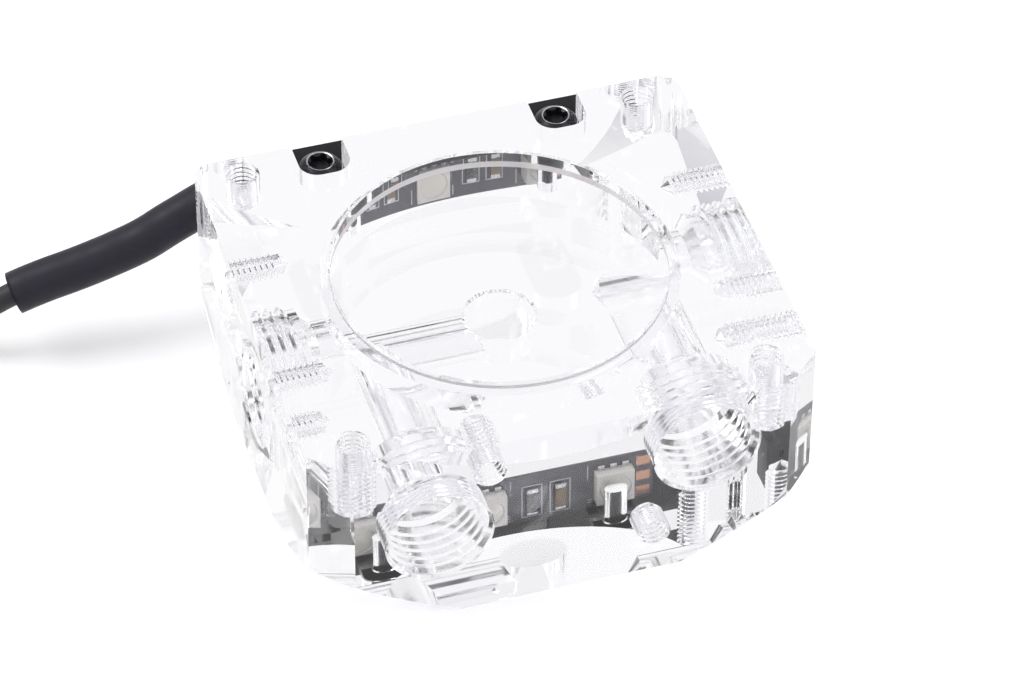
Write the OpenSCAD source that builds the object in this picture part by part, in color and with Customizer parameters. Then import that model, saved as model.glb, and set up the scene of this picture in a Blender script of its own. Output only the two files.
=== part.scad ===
// Clear machined pump top with a light strip, built from a photograph.
// Millimetres. Z is up. The outer face lies on z = 0 and the pump side faces up.
// The origin is under the centre of the pump cavity, -Y is the front with two ports.

/* [Block] */
// width of the block, left side to right side
block_width = 62; // [60:0.1:66]
// front face to the cavity centre
front_reach = 29.7; // [28.5:0.1:31]
// cavity centre to the back face
back_reach = 27.6; // [27.2:0.1:28.2]
// height of the block
block_height = 25.8; // [25.4:0.1:27]
// size of the two chamfers on the front corners
front_chamfer = 4.4; // [2:0.1:5]
// radius of the two back corners
back_corner_radius = 2.5; // [1:0.1:3]
// radius where the turned 45 degree cone meets the outer face
cone_radius = 32.6; // [31.5:0.1:34]

/* [Cavity] */
// diameter of the cavity's mouth, inside its lip
cavity_diameter = 40.7; // [38:0.1:41]
// depth of the cavity below the pump face
cavity_depth = 8.4; // [7.5:0.1:8.8]
// diameter of the cavity below the lip
chamber_diameter = 43.2; // [42:0.1:44.5]
// thickness of the lip round the cavity's mouth
lip_thickness = 2.5; // [1.5:0.1:3]
// diameter of the hole in the middle of the cavity floor
eye_diameter = 8.6; // [7:0.1:9.5]

/* [Ports] */
// diameter of each port inside its thread, the tap drill of a G 1/4 thread
port_diameter = 11.45; // [11:0.05:11.8]
// side ports, depth of the threaded part
side_port_depth = 6.5; // [5:0.1:7.5]
// front ports, depth of the threaded part
front_port_depth = 9; // [7:0.1:9.5]
// cavity centre line to each front port
front_port_offset = 16.35; // [15.5:0.05:17]
// pump face to the axes of the two inlet ports
inlet_drop = 13; // [12.8:0.1:13.6]
// pump face to the axes of the two outlet ports
outlet_drop = 7.8; // [7.4:0.1:8.3]
// diameter of the side inlet bore
inlet_bore_diameter = 6.6; // [5.5:0.1:7]
// diameter of the front inlet bore
front_bore_diameter = 7.4; // [6:0.1:7.6]
// diameter of the outlet bores
outlet_bore_diameter = 7.3; // [6:0.1:7.6]
// cavity centre to the end of the side outlet bore
outlet_bore_end = 13.6; // [13:0.1:15]

/* [Threaded holes] */
// diameter of the M4 holes inside their threads
screw_hole_diameter = 3.3; // [3.1:0.05:3.6]
// spacing of the four pump screw holes, left to right
pump_hole_spacing_x = 50.4; // [49.6:0.1:51]
// spacing of the four pump screw holes, front to back
pump_hole_spacing_y = 49.2; // [48.6:0.1:49.6]
// depth of the four pump screw holes
pump_hole_depth = 9; // [7:0.1:9.5]
// pump face to the upper row of mounting holes
upper_hole_drop = 4.5; // [4:0.1:4.6]
// half spacing of the mounting holes beside each port
side_hole_offset = 9.9; // [9.3:0.1:10]
// cavity centre to the foremost mounting hole on each side
fore_hole_offset = 17.8; // [17.4:0.1:18.2]
// depth of the mounting holes beside a side port
side_hole_depth = 6.5; // [5:0.1:7]
// depth of the foremost hole on the left side
left_fore_hole_depth = 4; // [3:0.1:4.2]
// depth of the foremost hole on the right side
right_fore_hole_depth = 9; // [7:0.1:9.2]
// cavity centre line to the two holes in the front face
front_hole_offset = 10.1; // [9.9:0.1:10.3]
// height of the lower hole in the front face
lower_hole_height = 5.7; // [5:0.1:6.5]
// depth of the two holes in the front face
front_hole_depth = 7; // [5:0.1:7.2]

/* [Light cover] */
// cavity centre line to each notch for a cover lug
notch_offset = 15.1; // [14.5:0.1:16]
// width of each notch
notch_width = 6.4; // [6:0.1:7]
// back face to the front of each notch
notch_reach = 6; // [5.4:0.1:6.2]
// pump face to the floor of each notch
notch_drop = 5; // [4.7:0.1:5.6]
// rounded inner corners of the notches
notch_radius = 2.4; // [1:0.1:2.6]
// length of the cover bar
cover_length = 53; // [50:0.1:55]
// back face to the outside of the cover bar
cover_thickness = 3.4; // [3.2:0.1:4]
// height of the cover bar
cover_height = 8; // [7.4:0.1:9]
// thickness of the lugs
lug_thickness = 1.6; // [1:0.1:1.8]
// thickness of the flange over the light strip
flange_thickness = 1.2; // [0.8:0.1:1.3]
// block's back face to the wall that carries the light strip
channel_depth = 2.2; // [2.1:0.05:2.3]
// gap between each lug and the sides of its notch
lug_gap = 0.1; // [0.05:0.05:0.3]
// diameter of the cover screws' heads
cover_screw_head = 5.6; // [5:0.1:5.7]
// height of the cover screws' heads
cover_screw_head_height = 1.9; // [1.6:0.1:2.2]
// thread diameter of the cover screws
cover_screw_diameter = 3; // [2.5:0.1:3.2]
// length of the cover screws below the head
cover_screw_length = 6; // [5:0.5:7]
// width across the six sided socket
cover_screw_socket = 2; // [1.8:0.1:2.4]
// back face to the centre of the cover screws
cover_screw_reach = 1.8; // [1.7:0.1:2.5]

/* [Light strip] */
// width of the strip's board
board_width = 8; // [7:0.1:8.2]
// underside of the flange to the upper edge of the board
board_drop = 0.2; // [0.1:0.1:0.4]
// thickness of the strip's board
board_thickness = 0.3; // [0.2:0.05:0.4]
// cavity centre line to the right end of the board
board_right = 21; // [20:0.1:23]
// cavity centre line to the left end of the board
board_left = 25; // [24:0.1:25.8]
// spacing of the lights
light_pitch = 16.7; // [15:0.1:17]
// cavity centre line to the middle light, to the left
light_offset = 1.1; // [0:0.1:1.4]
// side length of a square light
light_size = 5; // [3.5:0.1:5.2]
// height of a light above the board
light_height = 1.4; // [1:0.1:1.6]
// diameter of a light's round lens
lens_diameter = 4; // [3:0.1:4.4]
// middle of a light to the middle of the resistor beside it
chip_offset = 6.1; // [4:0.1:7]
// spacing of a resistor and a capacitor
chip_spacing = 3.7; // [2:0.1:4.5]
// length of a chip resistor
resistor_length = 3.1; // [2:0.1:3.2]
// width of a chip resistor
resistor_width = 1.6; // [1.2:0.1:1.8]
// length of a chip capacitor
capacitor_length = 3; // [1.8:0.1:3.2]
// width of a chip capacitor
capacitor_width = 1.5; // [0.8:0.05:1.7]

/* [Lead] */
// outside diameter of the round cable
cable_diameter = 3; // [2.6:0.1:3.2]
// outside diameter of the heat shrink sleeve
sleeve_diameter = 5.4; // [5:0.1:5.4]
// wall of the heat shrink sleeve
sleeve_wall = 0.5; // [0.3:0.05:0.6]
// diameter of each soldered lead wire
wire_diameter = 0.8; // [0.6:0.05:0.85]
// diameter of the coil at the middle of its turns
coil_diameter = 34; // [31:0.5:36]
// length of the connector housing
connector_length = 14; // [12:0.5:16]
// width of the connector housing
connector_width = 8.4; // [8:0.1:10]
// height of the connector housing
connector_height = 4.2; // [3.8:0.1:5]
// front of the sockets to their bottom
socket_depth = 10; // [6:0.5:11]
// side length of a square socket
socket_size = 1.8; // [1.4:0.1:2]
// spacing of the connector's sockets
contact_pitch = 2.54; // [2:0.02:2.7]

/* [Hidden] */

fine = 96;
small = 48;
over = 1;
hair = 0.05;
half_width = block_width / 2;
floor_height = block_height - cavity_depth;
drill_tip_ratio = 0.3;
port_shoulder = 1.4;
cover_top = block_height - notch_drop + lug_thickness;
lug_floor = block_height - notch_drop;
board_front = back_reach + channel_depth - board_thickness;
board_middle = cover_top - flange_thickness - board_drop - board_width / 2;
cover_bottom = cover_top - cover_height;
inlet_height = block_height - inlet_drop;
outlet_height = block_height - outlet_drop;
light_places = [for (i = [-1, 0, 1]) i * light_pitch - light_offset];
upper_hole_height = block_height - upper_hole_drop;
pad_thickness = 0.05;
chip_height = 0.55;
lens_height = 0.05;
shank_clearance = 0.1;
contact_gap = 0.1;
contact_wall = 0.3;

// the cable's route, centre points in mm, from the cover's left end to the coil
sleeve_route = [[-cover_length / 2 - 1.2, 30.35, 17.6], [-29.2, 30.35, 16.95], [-31.2, 30.35, 15.95],
    [-33.6, 30.35, 14.75], [-36.7, 30.3, 13.15], [-39.8, 30.25, 12.1], [-42.9, 30.2, 11.25],
    [-45.9, 30.2, 10.5], [-49, 30.25, 9.8], [-51.4, 30.3, 9.15], [-53.4, 30.4, 8.45]];
sheath_start = [[-cover_length / 2 - 0.7, 29.75, 17.85], [-29.2, 29.85, 16.95], [-31.2, 29.95, 15.95],
    [-33.6, 30.1, 14.75]];
free_route = [[-57, 30.8, 6.6], [-61, 31.4, 4.8], [-65, 32, 3.1], [-69, 32.6, 2.1], [-73, 33.1, 1.6],
    [-77, 33.4, 1.5], [-80.5, 33.5, 1.5], [-84, 33.5, 1.5]];
coil_turns = 4;
coil_layers = 2;
coil_centre = [-84, 12, 0];
tail_route = [[-102.6, 22.8, 4.5], [-104.6, 19, 4.2], [-105.8, 14.5, 3.2], [-106, 10, 2.1],
    [-105.7, 5.6, 1.6], [-104.9, 1.2, 1.5], [-103.7, -3, 1.5], [-102.3, -7, 1.5], [-100.8, -10.6, 1.5]];
connector_angle = -69;
tie_angle = -60;
tie_width = 3;
tie_thickness = 0.8;

// one tube swept along hand chosen points, hollow when inner is over zero
function unit(v) = v / norm(v);
function heading(p, i) = unit(p[min(i + 1, len(p) - 1)] - p[max(i - 1, 0)]);
function side_of(d) = unit(cross(d, [0, 0, 1]));
function ring_points(c, d, r, n) = [for (k = [0 : n - 1])
    c + r * (cos(360 * k / n) * side_of(d) + sin(360 * k / n) * cross(side_of(d), d))];
module swept_tube(route, r, n) {
    last = len(route) - 1;
    points = [for (i = [0 : last]) each ring_points(route[i], heading(route, i), r, n)];
    walls = [for (i = [0 : last - 1], k = [0 : n - 1])
        [i * n + k, i * n + (k + 1) % n, (i + 1) * n + (k + 1) % n, (i + 1) * n + k]];
    start_cap = [[for (k = [0 : n - 1]) n - 1 - k]];
    end_cap = [[for (k = [0 : n - 1]) last * n + k]];
    polyhedron(points, concat(start_cap, walls, end_cap), convexity = 4);
}
module swept_sleeve(route, r, wall, n) {
    last = len(route) - 1;
    outer = [for (i = [0 : last]) each ring_points(route[i], heading(route, i), r, n)];
    inner = [for (i = [0 : last]) each ring_points(route[i], heading(route, i), r - wall, n)];
    shift = len(outer);
    outer_walls = [for (i = [0 : last - 1], k = [0 : n - 1])
        [i * n + k, i * n + (k + 1) % n, (i + 1) * n + (k + 1) % n, (i + 1) * n + k]];
    inner_walls = [for (f = outer_walls) [f[3] + shift, f[2] + shift, f[1] + shift, f[0] + shift]];
    start_rim = [for (k = [0 : n - 1]) [(k + 1) % n, k, k + shift, (k + 1) % n + shift]];
    end_rim = [for (k = [0 : n - 1]) [last * n + k, last * n + (k + 1) % n,
        last * n + (k + 1) % n + shift, last * n + k + shift]];
    polyhedron(concat(outer, inner), concat(outer_walls, inner_walls, start_rim, end_rim),
        convexity = 6);
}

// a blind drilled hole that starts at the origin and runs along +Z, with a drill tip
module drilled(diameter, depth) {
    translate([0, 0, -over]) cylinder(h = depth + over, d = diameter, $fn = small);
    translate([0, 0, depth]) cylinder(h = diameter * drill_tip_ratio, d1 = diameter, d2 = 0, $fn = small);
}
// a port's straight part, then the drill's end and a bore of a given length
module port(depth, bore_diameter, bore_length) {
    translate([0, 0, -over]) cylinder(h = depth + over, d = port_diameter, $fn = fine);
    translate([0, 0, depth])
        cylinder(h = port_shoulder, d1 = port_diameter, d2 = bore_diameter, $fn = fine);
    translate([0, 0, depth]) cylinder(h = bore_length - depth, d = bore_diameter, $fn = small);
}
module to_right() { rotate([0, 90, 0]) children(); }
module to_left() { rotate([0, -90, 0]) children(); }
module to_back() { rotate([-90, 0, 0]) children(); }

module block_outline() {
    difference() {
        polygon([[-half_width, -front_reach + front_chamfer], [-half_width + front_chamfer, -front_reach],
            [half_width - front_chamfer, -front_reach], [half_width, -front_reach + front_chamfer],
            [half_width, back_reach], [-half_width, back_reach]]);
        for (s = [-1, 1]) difference() {
            translate([s * (half_width - back_corner_radius / 2), back_reach - back_corner_radius / 2])
                square(back_corner_radius + hair, center = true);
            translate([s * (half_width - back_corner_radius), back_reach - back_corner_radius])
                circle(r = back_corner_radius, $fn = fine);
        }
    }
}
module notch_outline(gap) {
    width = notch_width - 2 * gap;
    reach = notch_reach - gap;
    radius = notch_radius;
    translate([-width / 2, -reach + radius]) square([width, reach - radius + (gap > 0 ? hair : over)]);
    translate([-width / 2 + radius, -reach]) square([width - 2 * radius, radius + hair]);
    for (s = [-1, 1]) translate([s * (width / 2 - radius), -reach + radius]) circle(r = radius, $fn = fine);
}
module pump_cavity() {
    translate([0, 0, floor_height]) cylinder(h = cavity_depth + over, d = cavity_diameter, $fn = 180);
    translate([0, 0, floor_height])
        cylinder(h = cavity_depth - lip_thickness, d = chamber_diameter, $fn = 180);
    translate([0, 0, inlet_height - inlet_bore_diameter / 2])
        cylinder(h = floor_height - inlet_height + inlet_bore_diameter / 2 + over, d = eye_diameter,
            $fn = fine);
}
module water_ways() {
    translate([-half_width, 0, inlet_height]) to_right()
        port(side_port_depth, inlet_bore_diameter, half_width);
    translate([-front_port_offset, -front_reach, inlet_height]) to_back()
        port(front_port_depth, front_bore_diameter, front_reach);
    translate([half_width, 0, outlet_height]) to_left()
        port(side_port_depth, outlet_bore_diameter, half_width - outlet_bore_end);
    translate([outlet_bore_end, 0, outlet_height]) to_left()
        cylinder(h = outlet_bore_diameter * drill_tip_ratio, d1 = outlet_bore_diameter, d2 = 0,
            $fn = small);
    translate([front_port_offset, -front_reach, outlet_height]) to_back()
        port(front_port_depth, outlet_bore_diameter, front_reach);
}
module threaded_holes() {
    for (x = [-1, 1], y = [-1, 1])
        translate([x * pump_hole_spacing_x / 2, y * pump_hole_spacing_y / 2, block_height])
            rotate([180, 0, 0]) drilled(screw_hole_diameter, pump_hole_depth);
    for (y = [-side_hole_offset, side_hole_offset]) {
        translate([-half_width, y, upper_hole_height]) to_right()
            drilled(screw_hole_diameter, side_hole_depth);
        translate([half_width, y, upper_hole_height]) to_left()
            drilled(screw_hole_diameter, side_hole_depth);
    }
    translate([-half_width, -fore_hole_offset, upper_hole_height]) to_right()
        drilled(screw_hole_diameter, left_fore_hole_depth);
    translate([half_width, -fore_hole_offset, upper_hole_height]) to_left()
        drilled(screw_hole_diameter, right_fore_hole_depth);
    translate([-front_hole_offset, -front_reach, upper_hole_height]) to_back()
        drilled(screw_hole_diameter, front_hole_depth);
    translate([front_hole_offset, -front_reach, lower_hole_height]) to_back()
        drilled(screw_hole_diameter, front_hole_depth);
}
module cover_notches() {
    for (s = [-1, 1]) {
        translate([s * notch_offset, back_reach, lug_floor])
            linear_extrude(notch_drop + over) notch_outline(0);
        translate([s * notch_offset, back_reach - cover_screw_reach,
            cover_top - cover_screw_length - over])
            cylinder(h = cover_screw_length + over, d = cover_screw_diameter, $fn = small);
    }
}
// the clear block, one machined piece
module acrylic_block() {
    color([0.87, 0.88, 0.93, 0.4]) difference() {
        intersection() {
            linear_extrude(block_height) block_outline();
            cylinder(h = 2 * block_height, r1 = cone_radius, r2 = cone_radius + 2 * block_height,
                $fn = 180);
        }
        pump_cavity();
        water_ways();
        threaded_holes();
        cover_notches();
    }
}
// the black cover: a wall behind the strip, a flange over it and two lugs in the notches
module light_cover() {
    color([0.03, 0.03, 0.03]) difference() {
        union() {
            translate([-cover_length / 2, back_reach, cover_bottom])
                cube([cover_length, cover_thickness, cover_top - cover_bottom]);
            for (s = [-1, 1]) translate([s * notch_offset, back_reach, lug_floor])
                linear_extrude(lug_thickness) notch_outline(lug_gap);
        }
        translate([-cover_length / 2 - over, back_reach - over, cover_bottom - over])
            cube([cover_length - lug_thickness + over, channel_depth + over,
                cover_height - flange_thickness + over]);
        for (s = [-1, 1]) translate([s * notch_offset, back_reach - cover_screw_reach, lug_floor - over])
            cylinder(h = lug_thickness + 2 * over, d = cover_screw_diameter + shank_clearance, $fn = small);
    }
}
// the two screws that hold the cover
module cover_screws() {
    color([0.05, 0.05, 0.05]) for (s = [-1, 1])
        translate([s * notch_offset, back_reach - cover_screw_reach, cover_top]) difference() {
            union() {
                cylinder(h = cover_screw_head_height * 0.55, d = cover_screw_head, $fn = fine);
                translate([0, 0, cover_screw_head_height * 0.55])
                    cylinder(h = cover_screw_head_height * 0.45, d1 = cover_screw_head,
                        d2 = cover_screw_head * 0.72, $fn = fine);
                translate([0, 0, -cover_screw_length]) cylinder(h = cover_screw_length + hair,
                    d = cover_screw_diameter - shank_clearance, $fn = small);
            }
            translate([0, 0, cover_screw_head_height * 0.4])
                cylinder(h = cover_screw_head_height, d = cover_screw_socket / cos(30), $fn = 6);
        }
}
// the strip's flexible board
module strip_board() {
    color([0.05, 0.05, 0.06]) translate([-board_left, board_front, board_middle - board_width / 2])
        cube([board_left + board_right, board_thickness, board_width]);
}
// the square lights, facing the block
module light_packages() {
    color([0.93, 0.92, 0.88]) for (x = light_places)
        translate([x - light_size / 2, board_front - light_height, board_middle - light_size / 2])
            difference() {
                cube([light_size, light_height, light_size]);
                translate([light_size / 2, 0, light_size / 2]) rotate([-90, 0, 0])
                    translate([0, 0, -over])
                        cylinder(h = lens_height + over, d = lens_diameter, $fn = small);
            }
}
// the round lens in each light
module light_lenses() {
    color([0.85, 0.8, 0.62]) for (x = light_places)
        translate([x, board_front - light_height, board_middle]) rotate([-90, 0, 0])
            cylinder(h = lens_height, d = lens_diameter, $fn = small);
}
module chip(x, z, length, width) {
    translate([x - width / 2, board_front - chip_height, z - length / 2])
        cube([width, chip_height, length]);
}
// one chip resistor after each light but the last
module chip_resistors() {
    color([0.1, 0.1, 0.11]) for (i = [0, 1])
        chip(light_places[i] + chip_offset, board_middle + 0.6, resistor_length, resistor_width);
}
// one chip capacitor beside each resistor
module chip_capacitors() {
    color([0.55, 0.42, 0.3]) for (i = [0, 1])
        chip(light_places[i] + chip_offset + chip_spacing, board_middle + 0.6,
            capacitor_length, capacitor_width);
}
// the copper solder pads at both ends of the board
module solder_pads() {
    color([0.8, 0.45, 0.2]) for (x = [-board_left + 1.4, board_right - 1.4], i = [-1, 0, 1])
        translate([x - 0.9, board_front - pad_thickness, board_middle + i * contact_pitch - 0.75])
            cube([1.8, pad_thickness, 1.5]);
}
// three short wires from the left pads to the cable's end
module lead_wires() {
    color([0.1, 0.1, 0.1]) for (i = [-1, 0, 1]) {
        start = [-board_left + 1.6, board_front - pad_thickness - wire_diameter / 2 - hair / 2,
            board_middle + i * contact_pitch];
        sheath_end = sheath_start[0] + [-i * wire_diameter / 2, -0.4, i * wire_diameter * 1.1];
        swept_tube([start, start + [-1, 0, 0], (start + sheath_end) / 2 + [-0.4, 0, 0],
            sheath_end + [0.3, 0, 0], sheath_end], wire_diameter / 2, 8);
    }
}
// the heat shrink sleeve over the joint
module shrink_sleeve() {
    color([0.04, 0.04, 0.05]) swept_sleeve(sleeve_route, sleeve_diameter / 2, sleeve_wall, 16);
}
// the free cable, from the cover's end through the sleeve to the coil, and its tail
module cable() {
    color([0.05, 0.05, 0.05]) {
        swept_tube(concat(sheath_start, [for (i = [4 : 10]) sleeve_route[i]], free_route),
            cable_diameter / 2, 8);
        swept_tube(tail_route, cable_diameter / 2, 8);
    }
}
// the coiled length as one closed ring of its outer shape
module cable_coil() {
    color([0.05, 0.05, 0.05]) translate(coil_centre) rotate_extrude($fn = fine)
        translate([coil_diameter / 2 - cable_diameter, 0])
            square([cable_diameter * coil_turns / coil_layers, cable_diameter * coil_layers]);
}
// the tie around the coil
module coil_tie() {
    gap = hair;
    color([0.06, 0.06, 0.06]) translate(coil_centre) rotate([0, 0, tie_angle])
        translate([coil_diameter / 2, 0, 0]) difference() {
        translate([-cable_diameter - tie_thickness, -tie_width / 2, 0])
            cube([2 * (cable_diameter + tie_thickness), tie_width,
                cable_diameter * coil_layers + tie_thickness]);
        translate([-cable_diameter - gap, -tie_width, -over])
            cube([2 * (cable_diameter + gap), 2 * tie_width, cable_diameter * coil_layers + gap + over]);
    }
}
// the plug housing at the end of the cable
module connector() {
    color([0.06, 0.06, 0.07]) translate(tail_route[len(tail_route) - 1]) rotate([0, 0, connector_angle])
        translate([0, 0, (connector_height - cable_diameter) / 2]) difference() {
            translate([0, -connector_width / 2, -connector_height / 2])
                cube([connector_length, connector_width, connector_height]);
            for (i = [-1, 0, 1])
                translate([connector_length - socket_depth, i * contact_pitch - socket_size / 2,
                    -socket_size / 2]) cube([socket_depth + over, socket_size, socket_size]);
        }
}
// the three metal contacts in the plug
module connector_contacts() {
    outside = socket_size - 2 * contact_gap;
    inside = outside - 2 * contact_wall;
    color([0.8, 0.65, 0.3]) translate(tail_route[len(tail_route) - 1]) rotate([0, 0, connector_angle])
        translate([connector_length - socket_depth, 0, (connector_height - cable_diameter) / 2])
            for (i = [-1, 0, 1]) translate([0, i * contact_pitch, 0]) difference() {
                translate([0, -outside / 2, -outside / 2])
                    cube([socket_depth - outside / 2, outside, outside]);
                translate([outside, -inside / 2, -inside / 2]) cube([socket_depth, inside, inside]);
            }
}

acrylic_block();
light_cover();
cover_screws();
strip_board();
light_packages();
light_lenses();
chip_resistors();
chip_capacitors();
solder_pads();
lead_wires();
shrink_sleeve();
cable();
cable_coil();
coil_tie();
connector();
connector_contacts();
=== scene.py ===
"""Clear pump top with its light strip, cover and lead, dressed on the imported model's frame."""

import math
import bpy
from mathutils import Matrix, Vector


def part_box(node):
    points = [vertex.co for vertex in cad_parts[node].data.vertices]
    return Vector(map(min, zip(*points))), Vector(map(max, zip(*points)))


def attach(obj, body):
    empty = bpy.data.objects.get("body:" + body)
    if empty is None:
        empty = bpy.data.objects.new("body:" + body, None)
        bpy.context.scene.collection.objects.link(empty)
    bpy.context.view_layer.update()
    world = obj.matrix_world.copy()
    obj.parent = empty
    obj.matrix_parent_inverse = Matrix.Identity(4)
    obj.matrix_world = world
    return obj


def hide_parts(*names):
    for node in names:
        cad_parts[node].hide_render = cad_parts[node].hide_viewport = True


bl_info = {
    "name": "Clear Pump Top",
    "version": (1, 0, 0),
    "blender": (4, 5, 0),
    "location": "View3D > Sidebar > Pump Top",
    "description": "Builds a clear acrylic pump top with a light strip on its packed frame",
    "category": "Object",
}

import bmesh
import bpy
from mathutils import Matrix, Vector

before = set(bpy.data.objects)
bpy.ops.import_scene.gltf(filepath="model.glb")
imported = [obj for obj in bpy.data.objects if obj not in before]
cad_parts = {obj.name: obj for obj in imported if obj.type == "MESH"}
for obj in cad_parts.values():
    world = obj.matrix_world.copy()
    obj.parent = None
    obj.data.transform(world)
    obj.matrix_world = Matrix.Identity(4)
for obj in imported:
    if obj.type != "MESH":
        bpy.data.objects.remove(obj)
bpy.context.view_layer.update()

MM = 0.001


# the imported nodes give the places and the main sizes
def box_mm(node):
    """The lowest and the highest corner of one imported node, in millimetres."""
    low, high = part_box(node)
    return [c / MM for c in low], [c / MM for c in high]


BLOCK_LOW, BLOCK_HIGH = box_mm("acrylic_block")
BOARD_LOW, BOARD_HIGH = box_mm("strip_board")
BOARD_FACE = BOARD_LOW[1]
BOARD_MIDDLE = (BOARD_LOW[2] + BOARD_HIGH[2]) / 2
# a hair of air, in millimetres, under the block and between it and the cover's flange
AIR = 0.1


# shared helpers
def linear(code):
    """An sRGB hex colour such as D8DAE6 as linear RGBA."""
    parts = [int(code[i : i + 2], 16) / 255 for i in (0, 2, 4)]
    return [c / 12.92 if c <= 0.04045 else ((c + 0.055) / 1.055) ** 2.4 for c in parts] + [1.0]


def add_node(tree, kind, settings=None, inputs=None, links=None):
    """Adds one node, sets its properties and inputs, and links its inputs."""
    node = tree.nodes.new(kind)
    for name, value in (settings or {}).items():
        setattr(node, name, value)
    for name, value in (inputs or {}).items():
        node.inputs[name].default_value = value
    for name, source in (links or {}).items():
        tree.links.new(source, node.inputs[name])
    return node


def new_material(name):
    """An empty node material with its output, and the tree."""
    mat = bpy.data.materials.new(name)
    mat.use_nodes = True
    mat.node_tree.nodes.clear()
    return mat, mat.node_tree


def finish_material(tree, shader):
    add_node(tree, "ShaderNodeOutputMaterial", links={"Surface": shader})


def grain(tree, scale_per_mm, low, high):
    """A noise in real millimetres, mapped between two values."""
    coord = add_node(tree, "ShaderNodeTexCoord")
    noise = add_node(
        tree,
        "ShaderNodeTexNoise",
        inputs={"Scale": scale_per_mm / MM, "Detail": 3.0},
        links={"Vector": coord.outputs["Object"]},
    )
    ramp = add_node(
        tree,
        "ShaderNodeMapRange",
        inputs={"From Min": 0.3, "From Max": 0.7, "To Min": low, "To Max": high},
        links={"Value": noise.outputs["Fac"]},
    )
    return noise, ramp


def moulded(name, code, rough_low, rough_high, scale_per_mm, bump, metallic=0.0, coat=0.0, ior=1.5):
    """A solid skin whose gloss and fine relief vary at a real grain size."""
    mat, tree = new_material(name)
    noise, rough = grain(tree, scale_per_mm, rough_low, rough_high)
    relief = add_node(
        tree,
        "ShaderNodeBump",
        inputs={"Strength": bump, "Distance": 0.02 * MM},
        links={"Height": noise.outputs["Fac"]},
    )
    shader = add_node(
        tree,
        "ShaderNodeBsdfPrincipled",
        inputs={"Base Color": linear(code), "Metallic": metallic, "Coat Weight": coat, "IOR": ior},
        links={"Roughness": rough.outputs["Result"], "Normal": relief.outputs["Normal"]},
    )
    finish_material(tree, shader.outputs["BSDF"])
    return mat


def clear_acrylic(name, rough_low, rough_high, scale_per_mm, tint="FBFBFD", clear_share=1.0):
    """Cast acrylic, PMMA: refracts at 1.49 and lets light through to what lies under it."""
    mat, tree = new_material(name)
    _, rough = grain(tree, scale_per_mm, rough_low, rough_high)
    body = add_node(
        tree,
        "ShaderNodeBsdfPrincipled",
        inputs={"Base Color": linear(tint), "IOR": 1.49, "Transmission Weight": clear_share},
        links={"Roughness": rough.outputs["Result"]},
    )
    clear = add_node(tree, "ShaderNodeBsdfTransparent", inputs={"Color": linear("E6E6EC")})
    path = add_node(tree, "ShaderNodeLightPath")
    mix = add_node(
        tree,
        "ShaderNodeMixShader",
        links={0: path.outputs["Is Shadow Ray"], 1: body.outputs["BSDF"], 2: clear.outputs["BSDF"]},
    )
    finish_material(tree, mix.outputs["Shader"])
    return mat


def finish_piece(name, bm, materials, nodes, smooth_angle=32.0):
    """Turns a bmesh in millimetres into a piece in metres that rides on the root and replaces nodes."""
    bmesh.ops.scale(bm, vec=(MM, MM, MM), verts=bm.verts)
    mesh = bpy.data.meshes.new(name)
    bm.to_mesh(mesh)
    bm.free()
    piece = bpy.data.objects.new(name, mesh)
    for mat in materials:
        mesh.materials.append(mat)
    bpy.context.scene.collection.objects.link(piece)
    mesh.shade_smooth()
    mesh.set_sharp_from_angle(angle=math.radians(smooth_angle))
    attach(piece, "root")
    if nodes:
        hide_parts(*nodes)
    return piece


def merged_copy(node):
    """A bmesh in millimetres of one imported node, its triangles merged and its flat faces joined."""
    bm = bmesh.new()
    bm.from_mesh(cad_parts[node].data)
    bmesh.ops.scale(bm, vec=(1 / MM, 1 / MM, 1 / MM), verts=bm.verts)
    bmesh.ops.remove_doubles(bm, verts=bm.verts, dist=0.002)
    bmesh.ops.dissolve_limit(bm, angle_limit=math.radians(1), verts=bm.verts, edges=bm.edges)
    return bm


def soften(bm, width, sharper_than=40.0, segments=2):
    """Rounds the sharp outer edges of a bmesh a little, as a moulded or cut edge is."""
    edges = [
        e
        for e in bm.edges
        if len(e.link_faces) == 2 and e.calc_face_angle(0) > math.radians(sharper_than)
    ]
    bmesh.ops.bevel(
        bm,
        geom=edges,
        offset=width,
        offset_type="OFFSET",
        segments=segments,
        profile=0.5,
        affect="EDGES",
        clamp_overlap=True,
        material=-1,
    )


def tube_curve(name, routes, diameter, material, sides=4, capped=True):
    """A curve with one smooth spline for each route, in metres, and a round section."""
    data = bpy.data.curves.new(name, "CURVE")
    data.dimensions = "3D"
    data.resolution_u = 4
    data.bevel_depth = diameter / 2
    data.bevel_resolution = sides
    data.use_fill_caps = capped
    for route in routes:
        spline = data.splines.new("BEZIER")
        spline.bezier_points.add(len(route) - 1)
        for point, place in zip(spline.bezier_points, route):
            point.co = place
            point.handle_left_type = point.handle_right_type = "AUTO"
    piece = bpy.data.objects.new(name, data)
    data.materials.append(material)
    bpy.context.scene.collection.objects.link(piece)
    return piece


# settings that a user would change; sizes are in millimetres
def angle_setting(name, description, degrees):
    return bpy.props.FloatProperty(
        name=name, description=description, default=math.radians(degrees), subtype="ANGLE"
    )


def size_setting(name, description, millimetres):
    return bpy.props.FloatProperty(name=name, description=description + ", mm", default=millimetres)


def colour_setting(name, code):
    return bpy.props.StringProperty(
        name=name, description=f"Colour of the {name.lower()}, sRGB hex", default=code
    )


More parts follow.
